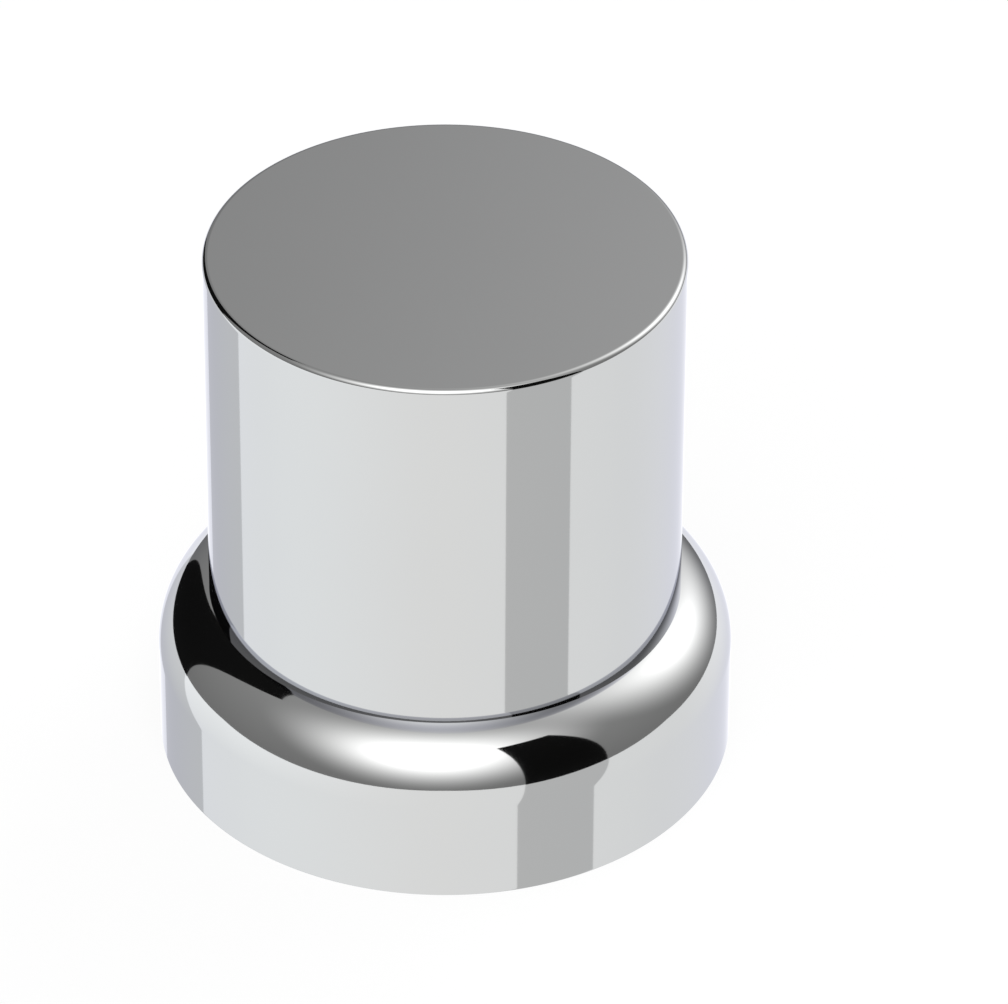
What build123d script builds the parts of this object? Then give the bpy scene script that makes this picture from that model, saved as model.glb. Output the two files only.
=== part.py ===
"""Push-on cover for a heavy truck's wheel nut: a plated plastic cup with a flared foot.

The cup is one moulding. Outside it is a plain round barrel with a flat top, standing on a
wider foot whose shoulder is a quarter round that runs up into the barrel and meets it at a
sharp crease. Inside it is an even wall with thin upright ribs on it, three for each flat of
the hexagonal nut. The lower part of a rib lies on the flat and grips it. The upper part steps
inwards, so that the cup stops on the nut's top face, and it runs on to the roof beside the end
of the stud. The foot covers the washer that is captive on the nut.

Millimetres. +Z is up, along the nut's axis. The origin is the centre of the foot's rim,
which rests on the wheel.
"""

from build123d import *
import math
import os

# The nut and its captive washer
nut_across_flats = 33.0
nut_height = 27.0
washer_diameter = 48.0

# Room between them and the cup
corner_clearance = 1.1
washer_clearance = 1.0
nut_top_clearance = 1.0

# The moulding's walls and drafts, in degrees
overall_height = 53.0
barrel_wall = 2.0
foot_wall = 2.0
roof_thickness = 2.2
barrel_draft = 0.05
foot_draft = 0.1

# The foot's upright side, and the quarter round above it
foot_side_height = 9.9
shoulder_radius = 6.6

# Small edge rounds
top_edge_radius = 0.5
rim_edge_radius = 0.1
mouth_edge_radius = 0.4
bore_edge_radius = 0.3
roof_corner_radius = 0.8

# The ribs
flat_count = 6
rib_thickness = 1.2
rib_spacing = 6.0
rib_bite = 0.2
rib_setback = 1.2
lead_in_height = 3.0
lead_in_depth = 1.0
stop_depth = 2.5

# Worked out from the sizes above
flat_distance = nut_across_flats / 2
corner_distance = flat_distance / math.cos(math.pi / flat_count)
bore_radius = corner_distance + corner_clearance
barrel_radius = bore_radius + barrel_wall
mouth_radius = washer_diameter / 2 + washer_clearance
foot_radius = mouth_radius + foot_wall
roof_height = overall_height - roof_thickness
shoulder_height = foot_side_height + shoulder_radius
inner_shoulder_radius = shoulder_radius - foot_wall
inner_shoulder_height = foot_side_height + inner_shoulder_radius
rib_foot_height = inner_shoulder_height + rib_setback
grip_height = rib_foot_height + lead_in_height
stop_height = nut_height + nut_top_clearance


def drafted(distance, rise, angle):
    """Returns how far a leaning face stands from the axis, a given rise above its foot."""
    return distance - rise * math.tan(math.radians(angle))


def corner(section, height):
    """Returns the outermost corner of a section at a height."""
    level = [vertex for vertex in section.vertices() if abs(vertex.Z - height) < 1e-4]
    return max(level, key=lambda vertex: vertex.X)


def half_section(radius, height, draft):
    """Returns half of the upright section of a solid cylinder that may narrow upwards."""
    top_radius = drafted(radius, height, draft)
    outline = Polyline((0, 0), (radius, 0), (top_radius, height), (0, height), close=True)
    return Plane.XZ * make_face(outline)


def outer_section():
    """Returns the half section of the filled cup: the foot, and the barrel that rises from it."""
    foot = half_section(foot_radius, shoulder_height, foot_draft)
    foot = fillet(corner(foot, shoulder_height), shoulder_radius)
    foot = fillet(corner(foot, 0), rim_edge_radius)
    barrel = half_section(barrel_radius, overall_height, barrel_draft)
    barrel = fillet(corner(barrel, overall_height), top_edge_radius)
    return foot + barrel


def inner_section():
    """Returns the half section of the hollow: the washer's mouth, and the bore above it."""
    mouth = half_section(mouth_radius, inner_shoulder_height, 0)
    mouth = fillet(corner(mouth, inner_shoulder_height), inner_shoulder_radius)
    bore = half_section(bore_radius, roof_height, barrel_draft)
    bore = fillet(corner(bore, roof_height), roof_corner_radius)
    return mouth + bore


def nearest_ring(edges, radius, height):
    """Returns the circular edge that comes nearest to a radius and a height."""
    rings = edges.filter_by(GeomType.CIRCLE)
    return min(rings, key=lambda ring: math.hypot(ring.radius - radius, ring.center().Z - height))


def make_shell():
    """Returns the cup without its ribs, with the inner edges of the mouth and bore rounded."""
    shell = revolve(outer_section() - inner_section(), Axis.Z)
    shell = fillet(nearest_ring(shell.edges(), mouth_radius, 0), mouth_edge_radius)
    bore_edge = nearest_ring(shell.edges(), bore_radius, inner_shoulder_height)
    return fillet(bore_edge, bore_edge_radius)


def rib_outline(root_distance):
    """Returns a rib's side view, from its root inside the wall to the face that grips the nut."""
    tip = flat_distance - rib_bite
    high_tip = drafted(tip, stop_height - grip_height, barrel_draft)
    stop_tip = flat_distance - stop_depth
    top_height = roof_height + roof_thickness / 2
    high_stop_tip = drafted(stop_tip, top_height - stop_height, barrel_draft)
    points = [
        (root_distance, rib_foot_height),
        (tip + lead_in_depth, rib_foot_height),
        (tip, grip_height),
        (high_tip, stop_height),
        (stop_tip, stop_height),
        (high_stop_tip, top_height),
        (root_distance, top_height),
    ]
    return Plane.XZ * make_face(Polyline(points, close=True))


def make_rib(offset):
    """Returns a rib that stands on the wall, an offset to one side of its flat's middle."""
    root_circle = drafted(barrel_radius - barrel_wall / 2, overall_height, barrel_draft)
    root_distance = math.sqrt(root_circle ** 2 - (abs(offset) + rib_thickness / 2) ** 2)
    rib = extrude(rib_outline(root_distance), rib_thickness / 2, both=True)
    return Pos(0, offset, 0) * rib


def make_ribs():
    """Returns the ribs of all the flats."""
    ribs = []
    for flat in range(flat_count):
        turn = Rot(0, 0, 360 / flat_count * flat)
        ribs += [turn * make_rib(place * rib_spacing) for place in (-1, 0, 1)]
    return ribs


os.makedirs("parts", exist_ok=True)
nut_cover = make_shell() + make_ribs()
export_step(nut_cover, "parts/nut_cover.step")
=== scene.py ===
"""Dresses a bright plated push-on cover for a truck's wheel nut, and sets it in a small studio.

The cover is one moulding: a round barrel with a flat top on a wider foot with a rounded
shoulder, and grip ribs inside. Metres. +Z is up, and the foot's rim stands on the floor at Z 0.
"""
import logging
import math
from dataclasses import dataclass, field
from enum import Enum
from typing import Any

import bmesh
import bpy
from mathutils import Matrix, Vector


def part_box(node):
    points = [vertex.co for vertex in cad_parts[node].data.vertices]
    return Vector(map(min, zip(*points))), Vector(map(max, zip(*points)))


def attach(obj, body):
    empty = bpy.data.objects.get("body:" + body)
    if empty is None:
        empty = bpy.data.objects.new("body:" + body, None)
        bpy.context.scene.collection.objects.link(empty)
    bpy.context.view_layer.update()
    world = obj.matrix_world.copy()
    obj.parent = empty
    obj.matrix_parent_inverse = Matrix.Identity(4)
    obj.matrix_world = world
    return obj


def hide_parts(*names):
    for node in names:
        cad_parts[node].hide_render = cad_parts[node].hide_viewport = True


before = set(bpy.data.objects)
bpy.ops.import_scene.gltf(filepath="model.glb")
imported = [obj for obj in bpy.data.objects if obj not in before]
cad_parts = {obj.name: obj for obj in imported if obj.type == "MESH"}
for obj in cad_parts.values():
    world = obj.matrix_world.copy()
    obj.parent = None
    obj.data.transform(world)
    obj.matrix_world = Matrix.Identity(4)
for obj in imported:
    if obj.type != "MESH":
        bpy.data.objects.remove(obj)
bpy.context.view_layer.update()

NODE = "nut_cover"
BODY = "root"
MM = 0.001

# The colour sockets of a Mix node, which has others for plain numbers and for vectors
MIX_LOW = 6
MIX_HIGH = 7
MIX_RESULT = 2

Point = tuple[float, float]
Colour = tuple[float, float, float]

log = logging.getLogger("nut_cover")


def drafted(radius: float, rise: float, draft: float) -> float:
    """Returns a wall's radius a rise above its foot, where it leans in by a draft in degrees."""
    return radius - rise * math.tan(math.radians(draft))


def heading(azimuth: float, elevation: float) -> Vector:
    """Turns two angles into a direction.

    Args:
        azimuth: The angle round the axis in degrees, 0 towards the camera and 90 to its right.
        elevation: The angle above level in degrees.

    Returns:
        The unit vector that way from the cover.
    """
    turn, rise = math.radians(azimuth), math.radians(elevation)
    out = math.cos(rise)
    return Vector((math.sin(turn) * out, -math.cos(turn) * out, math.sin(rise)))


class Rays(Enum):
    """Outputs of the Light Path node, by the kind of ray that meets a surface."""

    CAMERA = "Is Camera Ray"
    GLOSSY = "Is Glossy Ray"
    TRANSMISSION = "Is Transmission Ray"


class Value:
    """A number on a shader socket, on which Python's arithmetic adds Math nodes."""

    def __init__(self, graph: "Graph", socket: bpy.types.NodeSocket) -> None:
        """Wraps a socket.

        Args:
            graph: The node graph that holds the socket.
            socket: The output socket that carries the number.
        """
        self.graph = graph
        self.socket = socket

    def math(self, operation: str, *others: "Value | float") -> "Value":
        """Adds a Math node with this number as its first input.

        Args:
            operation: The Math node's operation.
            others: Its other inputs.

        Returns:
            The node's result.
        """
        inputs = dict(enumerate((self, *others)))
        made = self.graph.node("ShaderNodeMath", {"operation": operation}, inputs)
        return Value(self.graph, made.outputs[0])

    def __add__(self, other: "Value | float") -> "Value":
        """Returns the sum."""
        return self.math("ADD", other)

    __radd__ = __add__

    def __sub__(self, other: "Value | float") -> "Value":
        """Returns the difference."""
        return self.math("SUBTRACT", other)

    def __rsub__(self, other: float) -> "Value":
        """Returns the difference from a plain number."""
        return self * -1 + other

    def __mul__(self, other: "Value | float") -> "Value":
        """Returns the product."""
        return self.math("MULTIPLY", other)

    __rmul__ = __mul__

    def __truediv__(self, other: "Value | float") -> "Value":
        """Returns the quotient."""
        return self.math("DIVIDE", other)

    def __pow__(self, other: float) -> "Value":
        """Returns the power."""
        return self.math("POWER", other)

    def __abs__(self) -> "Value":
        """Returns the number without its sign."""
        return self.math("ABSOLUTE")

    def above(self, level: float) -> "Value":
        """Returns 1 where the number is above a level, and 0 elsewhere."""
        return self.math("GREATER_THAN", level)

    def below(self, level: float) -> "Value":
        """Returns 1 where the number is below a level, and 0 elsewhere."""
        return self.math("LESS_THAN", level)

    def larger(self, other: "Value | float") -> "Value":
        """Returns the larger of two numbers."""
        return self.math("MAXIMUM", other)

    def smaller(self, other: "Value | float") -> "Value":
        """Returns the smaller of two numbers."""
        return self.math("MINIMUM", other)


class Graph:
    """The node graph of a material or of the world."""

    def __init__(self, tree: bpy.types.NodeTree) -> None:
        """Empties a node tree.

        Args:
            tree: The tree to build in.
        """
        tree.nodes.clear()
        self.tree = tree

    def node(self, kind: str, settings: dict[str, Any],
             inputs: dict[str | int, Any]) -> bpy.types.Node:
        """Adds a node.

        Args:
            kind: The node's type.
            settings: Its own settings, set before its inputs.
            inputs: A value or a link for each of its sockets, by name or number.

        Returns:
            The new node.
        """
        made = self.tree.nodes.new(kind)
        for name, setting in settings.items():
            setattr(made, name, setting)
        for name, value in inputs.items():
            if isinstance(value, Value):
                value = value.socket
            if isinstance(value, bpy.types.NodeSocket):
                self.tree.links.new(value, made.inputs[name])
            else:
                made.inputs[name].default_value = value
        return made

    def object_point(self) -> bpy.types.NodeSocket:
        """Returns the point in the object's own axes."""
        return self.node("ShaderNodeTexCoord", {}, {}).outputs["Object"]

    def vector_math(self, operation: str, *inputs: Any) -> bpy.types.Node:
        """Returns a new Vector Math node with its inputs in their order."""
        settings = {"operation": operation}
        return self.node("ShaderNodeVectorMath", settings, dict(enumerate(inputs)))

    def parts(self, vector: bpy.types.NodeSocket) -> tuple[Value, ...]:
        """Returns a vector's three numbers."""
        split = self.node("ShaderNodeSeparateXYZ", {}, {0: vector})
        return tuple(Value(self, part) for part in split.outputs)

    def noise(self, vector: bpy.types.NodeSocket, scale: float, detail: float) -> Value:
        """Returns a noise from 0 to 1, with a scale in features for each metre."""
        inputs = {"Vector": vector, "Scale": scale, "Detail": detail}
        return Value(self, self.node("ShaderNodeTexNoise", {}, inputs).outputs[0])

    def colours(self, amount: Value, low: "Colour | bpy.types.NodeSocket",
                high: "Colour | bpy.types.NodeSocket") -> bpy.types.NodeSocket:
        """Mixes two colours.

        Args:
            amount: The share of the second colour, from 0 to 1.
            low: The first colour, or a socket that carries it.
            high: The second colour, or a socket that carries it.

        Returns:
            The mixed colour's socket.
        """
        inputs = {0: amount}
        for slot, colour in ((MIX_LOW, low), (MIX_HIGH, high)):
            inputs[slot] = colour if isinstance(colour, bpy.types.NodeSocket) else (*colour, 1.0)
        return self.node("ShaderNodeMix", {"data_type": "RGBA"}, inputs).outputs[MIX_RESULT]

    def seen(self) -> Value:
        """Marks the rays that show a surface as it is seen.

        Returns:
            1 for rays from the camera and for those that metal and glass send on, and 0 for others.
        """
        path = self.node("ShaderNodeLightPath", {}, {}).outputs
        camera, glossy, transmission = (Value(self, path[ray.value]) for ray in Rays)
        return camera.larger(glossy).larger(transmission)

    def output(self, shader: bpy.types.Node) -> None:
        """Sends a shader to the material's output."""
        self.node("ShaderNodeOutputMaterial", {}, {"Surface": shader.outputs[0]})


def new_material(name: str) -> tuple[bpy.types.Material, Graph]:
    """Makes a material.

    Args:
        name: Its name.

    Returns:
        The new material and its empty graph.
    """
    material = bpy.data.materials.new(name)
    material.use_nodes = True
    return material, Graph(material.node_tree)


def mesh_object(name: str, work: bmesh.types.BMesh,
                material: bpy.types.Material) -> bpy.types.Object:
    """Turns a bmesh into an object of the scene, at the origin.

    Args:
        name: The object's name.
        work: The bmesh, which is freed.
        material: The object's material.

    Returns:
        The new object.
    """
    mesh = bpy.data.meshes.new(name)
    work.to_mesh(mesh)
    work.free()
    mesh.materials.append(material)
    made = bpy.data.objects.new(name, mesh)
    bpy.context.scene.collection.objects.link(made)
    return made


class Section:
    """Half of a turned part's section, one line of edges in the plane of radius and height."""

    def __init__(self, start: Point, band: float) -> None:
        """Starts the section.

        Args:
            start: The radius and height of its first point.
            band: The width of the narrow band at each end of a straight run, which keeps the
                run straight when the surface is smoothed.
        """
        self.work = bmesh.new()
        self.tip = self.work.verts.new((start[0], 0, start[1]))
        self.band = band
        self.merge_distance = band / 50

    def step_to(self, place: Vector) -> None:
        """Draws one edge to a place."""
        self.tip = bmesh.ops.extrude_vert_indiv(self.work, verts=[self.tip])["verts"][0]
        self.tip.co = place

    def run_to(self, radius: float, height: float) -> None:
        """Draws a straight run, with its two narrow bands if it is long enough for them.

        Args:
            radius: The radius at which it ends.
            height: The height at which it ends.
        """
        first = self.tip.co.copy()
        last = Vector((radius, 0, height))
        way = (last - first).normalized() * self.band
        if (last - first).length > 3 * self.band:
            self.step_to(first + way)
            self.step_to(last - way)
        self.step_to(last)

    def turn_about(self, radius: float, height: float, degrees: float, segments: int) -> None:
        """Draws an arc.

        Args:
            radius: The radius at which its centre lies.
            height: The height of its centre.
            degrees: How far it turns, clockwise for a positive number.
            segments: How many edges it gets.
        """
        made = bmesh.ops.spin(self.work, geom=[self.tip], cent=(radius, 0, height), axis=(0, 1, 0),
                              angle=math.radians(degrees), steps=segments)
        self.tip = made["geom_last"][0]

    def turned(self, steps: int) -> bmesh.types.BMesh:
        """Turns the section once round the axis.

        Args:
            steps: How many steps the turn takes.

        Returns:
            The surface, closed at its seam and at both poles, with its faces outwards.
        """
        work = self.work
        bmesh.ops.spin(work, geom=work.verts[:] + work.edges[:], cent=(0, 0, 0), axis=(0, 0, 1),
                       angle=math.tau, steps=steps, use_merge=True)
        bmesh.ops.remove_doubles(work, verts=work.verts[:], dist=self.merge_distance)
        bmesh.ops.recalc_face_normals(work, faces=work.faces[:])
        return work


@dataclass(frozen=True)
class Plating:
    """Bright chrome plating on moulded plastic: a mirror outside, and a satin skin inside.

    The three tints are what the metal sends back square on, and the edge tint scales what it
    sends back at a glancing angle.
    """

    bright: Colour = (0.5565, 0.5600, 0.5560)
    bright_deep: Colour = (0.5440, 0.5475, 0.5450)
    satin: Colour = (0.47, 0.475, 0.48)
    edge_tint: Colour = (0.68, 0.685, 0.75)
    bright_roughness: float = 0.035
    bright_haze: float = 0.02
    satin_roughness: float = 0.30
    satin_haze: float = 0.14
    haze_scale: float = 60.0
    haze_detail: float = 3.0
    grain_scale: float = 1400.0
    grain_detail: float = 2.0
    grain_height: float = 0.02 * MM

    def material(self, cover: "Moulding") -> bpy.types.Material:
        """Makes the material.

        Args:
            cover: The moulding, whose sizes say where its inside is.

        Returns:
            The new material.
        """
        material, graph = new_material("chrome_plating")
        point = graph.object_point()
        inside = cover.inside(*graph.parts(point))
        haze = graph.noise(point, self.haze_scale, self.haze_detail)
        grain = graph.noise(point, self.grain_scale, self.grain_detail)
        bright = self.bright_roughness + haze * self.bright_haze
        satin = self.satin_roughness + haze * self.satin_haze
        mirror = graph.colours(haze, self.bright, self.bright_deep)
        relief = {"Height": grain * inside, "Strength": 1.0, "Distance": self.grain_height}
        graph.output(graph.node("ShaderNodeBsdfPrincipled", {}, {
            "Base Color": graph.colours(inside, mirror, self.satin),
            "Metallic": 1.0,
            "Roughness": bright + inside * (satin - bright),
            "Specular Tint": (*self.edge_tint, 1.0),
            "Normal": graph.node("ShaderNodeBump", {}, relief).outputs[0],
        }))
        return material


@dataclass
class GripRibs:
    """The ribs on the inner wall, three for each flat of the hexagonal nut.

    The tip and the root are radii, and the foot, the grip, the stop and the top are heights.
    Below the grip the rib's edge leads in from further out, and above the stop it steps inwards.
    """

    flats: int = 6
    places: tuple[int, ...] = (-1, 0, 1)
    spacing: float = 6.0 * MM
    thickness: float = 1.2 * MM
    tip: float = 16.3 * MM
    foot: float = 15.7 * MM
    grip: float = 18.7 * MM
    stop: float = 28.0 * MM
    lead_in_depth: float = 1.0 * MM
    stop_depth: float = 2.3 * MM
    root: float = 21.1 * MM
    top: float = 51.9 * MM
    edge_round: float = 0.15 * MM
    edge_segments: int = 2

    def outline(self, root: float) -> list[Point]:
        """Lays out a rib's side view.

        Args:
            root: The radius of its root, inside the wall.

        Returns:
            The radius and height of each corner.
        """
        return [
            (root, self.foot),
            (self.tip + self.lead_in_depth, self.foot),
            (self.tip, self.grip),
            (self.tip, self.stop),
            (self.tip - self.stop_depth, self.stop),
            (self.tip - self.stop_depth, self.top),
            (root, self.top),
        ]

    def add_rib(self, work: bmesh.types.BMesh, offset: float, turn: float) -> None:
        """Adds one rib.

        Args:
            work: The bmesh to add it to.
            offset: How far it stands to one side of its flat's middle.
            turn: The angle of its flat about the axis, in radians.
        """
        root = math.sqrt(self.root ** 2 - (abs(offset) + self.thickness / 2) ** 2)
        side = offset - self.thickness / 2
        corners = [work.verts.new((radius, side, height)) for radius, height in self.outline(root)]
        blade = work.faces.new(corners)
        made = bmesh.ops.extrude_face_region(work, geom=[blade])["geom"]
        far = [item for item in made if isinstance(item, bmesh.types.BMVert)]
        bmesh.ops.translate(work, verts=far, vec=(0, self.thickness, 0))
        bmesh.ops.rotate(work, verts=corners + far, cent=(0, 0, 0),
                         matrix=Matrix.Rotation(turn, 3, "Z"))

    def build(self) -> bmesh.types.BMesh:
        """Builds all the ribs.

        Returns:
            The ribs, with their edges eased.
        """
        work = bmesh.new()
        for flat in range(self.flats):
            for place in self.places:
                self.add_rib(work, place * self.spacing, math.tau / self.flats * flat)
        bmesh.ops.recalc_face_normals(work, faces=work.faces[:])
        bmesh.ops.bevel(work, geom=work.edges[:], offset=self.edge_round, offset_type="OFFSET",
                        segments=self.edge_segments, profile=0.5, affect="EDGES", material=-1,
                        clamp_overlap=True)
        return work


@dataclass
class Moulding:
    """The whole cover: its turned wall, which is one closed section, joined with its ribs.

    Heights are from the foot's rim, and drafts and the crease angle are in degrees.
    """

    height: float
    foot_radius: float
    foot_draft: float = 0.1
    foot_side: float = 9.9 * MM
    shoulder_radius: float = 6.6 * MM
    foot_wall: float = 2.0 * MM
    barrel_radius: float = 22.153 * MM
    barrel_draft: float = 0.05
    barrel_wall: float = 2.0 * MM
    roof_thickness: float = 2.2 * MM
    top_round: float = 0.5 * MM
    rim_round: float = 0.1 * MM
    mouth_round: float = 0.4 * MM
    bore_round: float = 0.3 * MM
    roof_round: float = 0.8 * MM
    turned_steps: int = 256
    shoulder_segments: int = 48
    round_segments: int = 10
    band: float = 0.06 * MM
    crease_angle: float = 35.0
    ribs: GripRibs = field(default_factory=GripRibs)

    @property
    def shoulder_centre(self) -> Point:
        """Places the centre of the shoulder's arc, which touches the leaning side of the foot.

        Returns:
            Its radius and height.
        """
        lean = math.radians(self.foot_draft)
        inset = (self.shoulder_radius + self.foot_side * math.sin(lean)) / math.cos(lean)
        return self.foot_radius - inset, self.foot_side

    @property
    def shoulder_sweep(self) -> float:
        """Works out how far the shoulder's arc turns between the barrel and the foot's side.

        Returns:
            The angle in degrees.
        """
        crease = self.foot_side + self.shoulder_radius
        barrel = drafted(self.barrel_radius, crease, self.barrel_draft)
        rise = math.acos((barrel - self.shoulder_centre[0]) / self.shoulder_radius)
        return math.degrees(rise) - self.foot_draft

    def inside(self, x: Value, y: Value, z: Value) -> Value:
        """Makes a mask of the cover's inner surfaces for a material.

        Args:
            x: The point's first coordinate.
            y: Its second coordinate.
            z: Its height.

        Returns:
            1 inside and 0 outside, parted at the mouth's inner edge.
        """
        radius = (x * x + y * y) ** 0.5
        centre = self.shoulder_centre
        out = (radius - centre[0]).larger(0)
        up = (z - centre[1]).larger(0)
        reach = self.shoulder_radius - self.foot_wall + self.mouth_round
        foot = ((out * out + up * up) ** 0.5).below(reach)
        barrel = radius.below(self.barrel_radius - self.barrel_wall / 2)
        return foot.larger(barrel * z.below(self.height - self.roof_thickness / 2))

    def draw_outside(self) -> Section:
        """Draws the section from the middle of the top down to the rim.

        Returns:
            The section so far.
        """
        top_radius = drafted(self.barrel_radius, self.height, self.barrel_draft) - self.top_round
        top_height = self.height - self.top_round
        section = Section((0, self.height), self.band)
        section.run_to(top_radius, self.height)
        section.turn_about(top_radius, top_height, 90 - self.barrel_draft, self.round_segments)
        radius, height = self.shoulder_centre
        rise = math.radians(self.shoulder_sweep + self.foot_draft)
        section.run_to(radius + self.shoulder_radius * math.cos(rise),
                       height + self.shoulder_radius * math.sin(rise))
        section.turn_about(radius, height, self.shoulder_sweep, self.shoulder_segments)
        section.run_to(self.foot_radius, self.rim_round)
        section.turn_about(self.foot_radius - self.rim_round, self.rim_round, 90,
                           self.round_segments // 2)
        return section

    def draw_inside(self, section: Section) -> None:
        """Carries the section on from the rim up to the middle of the roof.

        Args:
            section: The section, drawn as far as the rim.
        """
        steps = self.round_segments
        mouth_radius = self.foot_radius - self.foot_wall
        section.run_to(mouth_radius + self.mouth_round, 0)
        section.turn_about(mouth_radius + self.mouth_round, self.mouth_round, 90, steps)
        inner_shoulder = self.shoulder_radius - self.foot_wall
        section.run_to(mouth_radius, self.foot_side)
        section.turn_about(mouth_radius - inner_shoulder, self.foot_side, -90,
                           self.shoulder_segments // 2)
        ledge = self.foot_side + inner_shoulder
        bore_radius = drafted(self.barrel_radius - self.barrel_wall, ledge, self.barrel_draft)
        section.step_to(Vector((bore_radius + self.bore_round, 0, ledge)))
        section.turn_about(bore_radius + self.bore_round, ledge + self.bore_round, 90, steps)
        roof = self.height - self.roof_thickness
        roof_radius = drafted(self.barrel_radius - self.barrel_wall, roof, self.barrel_draft)
        section.run_to(roof_radius, roof - self.roof_round)
        section.turn_about(roof_radius - self.roof_round, roof - self.roof_round, -90, steps)
        section.run_to(0, roof)

    def wall(self) -> bmesh.types.BMesh:
        """Turns the wall.

        Returns:
            The closed wall without its ribs.
        """
        section = self.draw_outside()
        self.draw_inside(section)
        return section.turned(self.turned_steps)

    def build(self, plating: Plating) -> bpy.types.Object:
        """Builds the cover and dresses it.

        Args:
            plating: Its finish.

        Returns:
            The finished piece.
        """
        material = plating.material(self)
        cover = mesh_object("nut_cover_moulding", self.wall(), material)
        ribs = mesh_object("rib_tool", self.ribs.build(), material)
        union = cover.modifiers.new("join_ribs", "BOOLEAN")
        union.operation = "UNION"
        union.solver = "EXACT"
        union.object = ribs
        evaluated = cover.evaluated_get(bpy.context.evaluated_depsgraph_get())
        joined = bpy.data.meshes.new_from_object(evaluated)
        cover.modifiers.clear()
        cover.data = joined
        bpy.data.objects.remove(ribs)
        joined.shade_smooth()
        joined.set_sharp_from_angle(angle=math.radians(self.crease_angle))
        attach(cover, BODY)
        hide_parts(NODE)
        return cover


@dataclass(frozen=True)
class Glow:
    """A round soft lamp behind the tent's cloth, brightest in its middle.

    Its place and its radius are angles in degrees, and its fall is the power with which its
    light fades towards that radius.
    """

    azimuth: float
    elevation: float
    strength: float
    radius: float
    fall: float

    def light(self, graph: Graph, direction: bpy.types.NodeSocket) -> Value:
        """Spreads the lamp's light on the cloth.

        Args:
            graph: The cloth's graph.
            direction: The unit vector from the cover to a point of the cloth.

        Returns:
            The light there.
        """
        towards = heading(self.azimuth, self.elevation)
        cosine = graph.vector_math("DOT_PRODUCT", direction, towards).outputs["Value"]
        angle = Value(graph, cosine).math("ARCCOSINE")
        return (1 - angle / math.radians(self.radius)).larger(0) ** self.fall * self.strength


@dataclass(frozen=True)
class Flag:
    """An upright flat black cloth that darkens one side of the cover.

    It faces an azimuth, its sides are azimuths too, and its foot and top are the elevations
    where it faces, all in degrees. Below it, its shadow is painted on the tent's white ground
    as a grey streak, whose depth is the share of the ground's light that is painted away there.
    """

    name: str
    facing: float
    left: float
    right: float
    foot: float
    top: float
    painted_shadow_left: float
    painted_shadow_right: float
    painted_shadow_depth: float

    def shade(self, azimuth: Value) -> Value:
        """Returns the share of the ground's light that the flag's painted shadow takes away."""
        after = azimuth.above(math.radians(self.painted_shadow_left))
        return after * azimuth.below(math.radians(self.painted_shadow_right)) * self.painted_shadow_depth

    def build(self, distance: float, material: bpy.types.Material) -> bpy.types.Object:
        """Builds the flag.

        Args:
            distance: How far it stands from the cover's axis.
            material: Its cloth.

        Returns:
            The flag.
        """
        left, right = (distance * math.tan(math.radians(side - self.facing))
                       for side in (self.left, self.right))
        foot, top = (distance * math.tan(math.radians(rise)) for rise in (self.foot, self.top))
        place = Matrix.Rotation(math.radians(self.facing), 4, "Z")
        place @= Matrix.Translation(((left + right) / 2, -distance, (foot + top) / 2))
        place @= Matrix.Rotation(math.radians(90), 4, "X")
        place @= Matrix.Diagonal(((right - left) / 2, (top - foot) / 2, 1, 1))
        work = bmesh.new()
        bmesh.ops.create_grid(work, x_segments=1, y_segments=1, size=1, matrix=place)
        made = mesh_object(self.name, work, material)
        made.visible_camera = False
        return made


@dataclass(frozen=True)
class Horizon:
    """The line where the tent's wall meets the white ground, in degrees below level.

    It is highest in front, and the other three say how much lower it lies towards the
    diagonals, the sides and the back.
    """

    front: float = 1.8
    diagonals: float = 4.2
    sides: float = 1.3
    back: float = 2.2

    def wall(self, x: Value, y: Value, z: Value) -> Value:
        """Makes a mask of the wall.

        Args:
            x: The part of the cloth's direction to the camera's right.
            y: The part away from the camera.
            z: The part upwards.

        Returns:
            1 on the wall and 0 on the ground.
        """
        dip = (self.front + abs(x * y) * self.diagonals + x * x * self.sides
               + y.larger(0) * self.back)
        return (z + dip * math.radians(1)).above(0)


@dataclass(frozen=True)
class Wall:
    """The tent's grey wall with its lamps.

    Its light grows with the height on the cloth by a slope, a bend and a steep crown, the last
    two times a power of that height, and a lamp takes it no higher than its brightest.
    """

    low: float = 0.2817
    slope: float = 0.103
    bend: float = 0.0235
    bend_power: float = 3.0
    crown: float = 0.137
    crown_power: float = 10.0
    brightest: float = 2.095
    glows: tuple[Glow, ...] = (
        Glow(azimuth=-6.46, elevation=50.94, strength=3.79, radius=58.55, fall=2.01),
        Glow(azimuth=134.45, elevation=34.97, strength=2.74, radius=46.5, fall=1.78),
    )

    def light(self, graph: Graph, direction: bpy.types.NodeSocket, z: Value) -> Value:
        """Works out the wall's light.

        Args:
            graph: The cloth's graph.
            direction: The unit vector from the cover to a point of the cloth.
            z: Its part upwards.

        Returns:
            The light there.
        """
        up = z.larger(0)
        bend = up ** self.bend_power * self.bend
        crown = up ** self.crown_power * self.crown
        light = up * self.slope + bend + crown + self.low
        for glow in self.glows:
            light = light + glow.light(graph, direction)
        return light.smaller(self.brightest)


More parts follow.
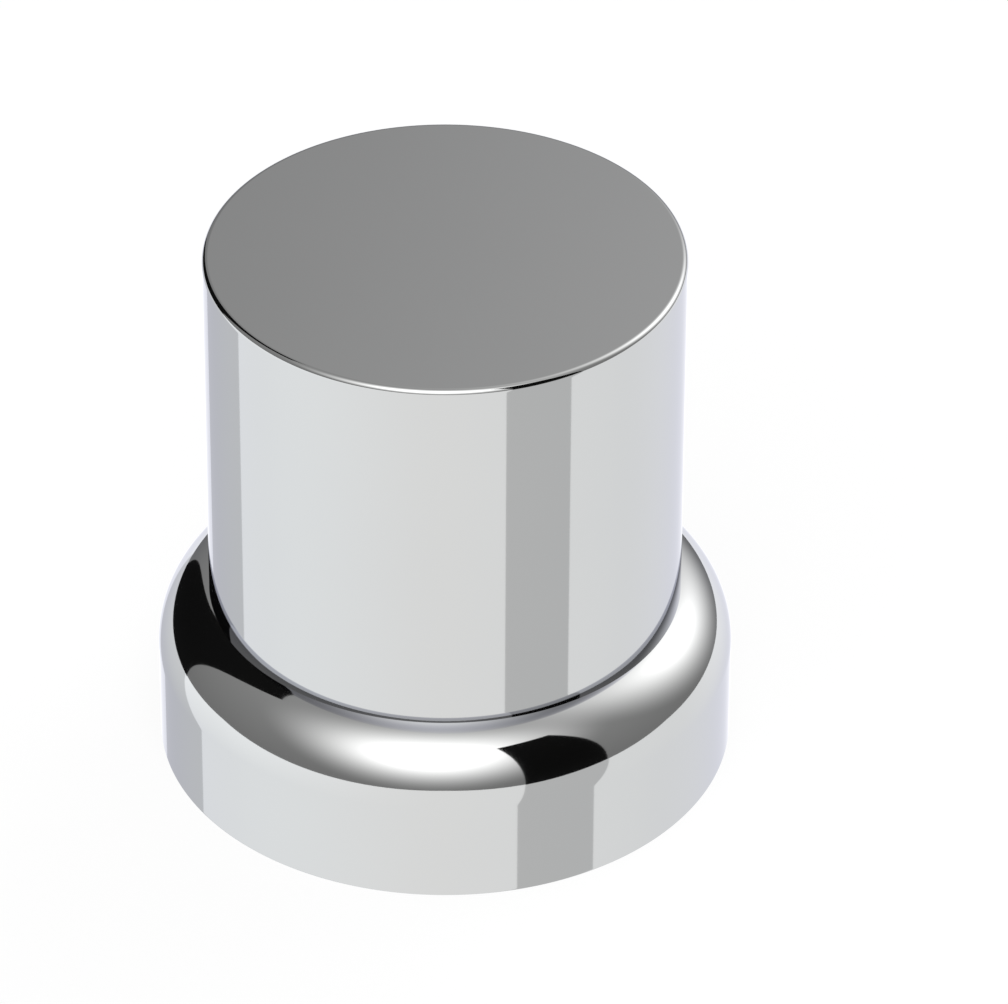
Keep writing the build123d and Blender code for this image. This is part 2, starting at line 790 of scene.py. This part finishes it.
@dataclass(frozen=True)
class Ground:
    """The white ground round the cover, brighter in its far corners and tinted at its sides.

    At the left it also grows a little darker downwards. The turning drop, the sine of an angle
    below level, says where that leaves its level as it is.
    """

    level: float = 1.214
    corner_rise: float = 0.58
    back_power: float = 2.0
    side_power: float = 0.5
    left_slope: float = 0.18
    left_power: float = 1.5
    turning_drop: float = 0.58
    middle: Colour = (1.0, 1.0, 1.0)
    left: Colour = (1.050, 1.074, 1.092)
    right: Colour = (0.965, 0.975, 0.983)

    def colour(self, graph: Graph, left: Value, right: Value) -> bpy.types.NodeSocket:
        """Mixes the ground's tints.

        Args:
            graph: The cloth's graph.
            left: The left tint's share, from 0 to 1.
            right: The right tint's share, from 0 to 1.

        Returns:
            The colour's socket.
        """
        return graph.colours(right, graph.colours(left, self.middle, self.left), self.right)

    def light(self, x: Value, y: Value, z: Value, left: Value) -> Value:
        """Works out the ground's light, without the flags' streaks.

        Args:
            x: The part of the cloth's direction to the camera's right.
            y: The part away from the camera.
            z: The part upwards.
            left: The left tint's share, from 0 to 1.

        Returns:
            The light as a share of the ground's level.
        """
        corners = y.larger(0) ** self.back_power * abs(x) ** self.side_power * self.corner_rise
        return corners + 1 + left * (z + self.turning_drop) * self.left_slope


@dataclass
class Studio:
    """The floor, the cloth tent with its soft lamps and flags, and the white backdrop."""

    floor_radius: float = 4.0
    floor_steps: int = 96
    floor_white: float = 0.88
    floor_grey: Colour = (0.15, 0.15, 0.15)
    tent_radius: float = 12.0
    tent_subdivisions: int = 4
    horizon: Horizon = Horizon()
    wall: Wall = Wall()
    ground: Ground = Ground()
    flag_black: Colour = (0.0095, 0.0095, 0.0095)
    flag_distance: float = 5.4
    flags: tuple[Flag, ...] = (
        Flag("right_flag", facing=45.0, left=29.2, right=61.6, foot=-4.5, top=60.4,
             painted_shadow_left=29.1, painted_shadow_right=62.2, painted_shadow_depth=0.347),
        Flag("left_flag", facing=-136.0, left=-152.5, right=-114.4, foot=-6.3, top=58.8,
             painted_shadow_left=-155.1, painted_shadow_right=-115.6, painted_shadow_depth=0.313),
    )

    def floor(self) -> bpy.types.Object:
        """Builds the pale floor, which takes the cover's soft shadow.

        Returns:
            The floor.
        """
        material, graph = new_material("pale_floor")
        material.cycles.emission_sampling = "NONE"
        sheet = graph.node("ShaderNodeBsdfDiffuse", {}, {"Color": (*self.floor_grey, 1.0)})
        white = graph.node("ShaderNodeEmission", {}, {"Strength": graph.seen() * self.floor_white})
        both = graph.node("ShaderNodeAddShader", {}, {0: sheet.outputs[0], 1: white.outputs[0]})
        graph.output(both)
        work = bmesh.new()
        bmesh.ops.create_circle(work, cap_ends=True, segments=self.floor_steps,
                                radius=self.floor_radius)
        made = mesh_object("floor", work, material)
        made.visible_glossy = False
        return made

    def cloth(self) -> bpy.types.Material:
        """Makes the tent's cloth: a grey wall with soft lamps over a white ground with painted flag
        shadows.

        Returns:
            The new material.
        """
        material, graph = new_material("tent_cloth")
        material.cycles.emission_sampling = "NONE"
        direction = graph.vector_math("NORMALIZE", graph.object_point()).outputs[0]
        x, y, z = graph.parts(direction)
        azimuth = x.math("ARCTAN2", y * -1)
        side = azimuth.math("SINE")
        left = (side * -1).larger(0) ** self.ground.left_power
        tint = self.ground.colour(graph, left, side.larger(0))
        ground = self.ground.light(x, y, z, left)
        # Each flag's painted shadow: a grey streak painted into the ground's light below it.
        for flag in self.flags:
            ground = ground * (1 - flag.shade(azimuth))
        ground = ground * self.ground.level
        is_wall = self.horizon.wall(x, y, z)
        graph.output(graph.node("ShaderNodeEmission", {}, {
            "Color": graph.colours(is_wall, tint, (1.0, 1.0, 1.0)),
            "Strength": ground + is_wall * (self.wall.light(graph, direction, z) - ground),
        }))
        return material

    def tent(self) -> bpy.types.Object:
        """Builds the cloth tent, which only the plating mirrors.

        Returns:
            The tent.
        """
        work = bmesh.new()
        bmesh.ops.create_icosphere(work, subdivisions=self.tent_subdivisions,
                                   radius=self.tent_radius)
        made = mesh_object("tent", work, self.cloth())
        made.visible_camera = False
        return made

    def backdrop(self) -> None:
        """Makes the world a plain white, which only the camera reaches past the floor."""
        world = bpy.data.worlds.new("white_backdrop")
        bpy.context.scene.world = world
        world.use_nodes = True
        graph = Graph(world.node_tree)
        white = graph.node("ShaderNodeBackground", {}, {"Color": (1, 1, 1, 1), "Strength": 1.0})
        graph.node("ShaderNodeOutputWorld", {}, {"Surface": white.outputs[0]})

    def build(self) -> list[bpy.types.Object]:
        """Builds the studio.

        Returns:
            Its pieces, none of which is part of the cover.
        """
        black, graph = new_material("black_cloth")
        graph.output(graph.node("ShaderNodeBsdfDiffuse", {}, {"Color": (*self.flag_black, 1.0)}))
        self.backdrop()
        made = [self.floor(), self.tent()]
        for flag in self.flags:
            made.append(flag.build(self.flag_distance, black))
        return made


@dataclass(frozen=True)
class Viewpoint:
    """The photograph's camera, which looks down on the cover's axis from in front.

    Its focal length is in pixels of the frame. The aim pixel, counted from the top left, shows
    the point of the axis at the aim height.
    """

    elevation: float = 35.57
    distance: float = 664.36 * MM
    aim_height: float = 25.18 * MM
    focal_pixels: float = 7136.0
    aim_pixel: Point = (445.02, 502.5)
    frame_size: Point = (1008.0, 1004.0)
    sensor: float = 36.0
    clip_span: float = 100.0

    def build(self) -> None:
        """Makes the camera and hands it to the scene."""
        camera = bpy.data.cameras.new("camera")
        camera.sensor_width = self.sensor
        width, height = self.frame_size
        camera.lens = self.focal_pixels / width * self.sensor
        camera.shift_x = (width / 2 - self.aim_pixel[0]) / width
        camera.shift_y = (self.aim_pixel[1] - height / 2) / width
        camera.clip_start = self.distance / self.clip_span
        camera.clip_end = self.distance * self.clip_span
        made = bpy.data.objects.new("camera", camera)
        back = heading(0, self.elevation)
        made.location = Vector((0, 0, self.aim_height)) + back * self.distance
        made.rotation_euler = (-back).to_track_quat("-Z", "Y").to_euler()
        bpy.context.scene.collection.objects.link(made)
        bpy.context.scene.camera = made


def main() -> None:
    """Builds the studio and the cover, and reports each piece."""
    logging.basicConfig(level=logging.INFO, format="%(message)s")
    bpy.context.scene.view_settings.view_transform = "Standard"
    stage = Studio().build()
    Viewpoint().build()
    low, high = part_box(NODE)
    moulding = Moulding(height=high.z, foot_radius=(high.x - low.x) / 2)
    for piece in (*stage, moulding.build(Plating())):
        log.info("%s: %d faces", piece.name, len(piece.data.polygons))


if __name__ == "__main__":
    main()
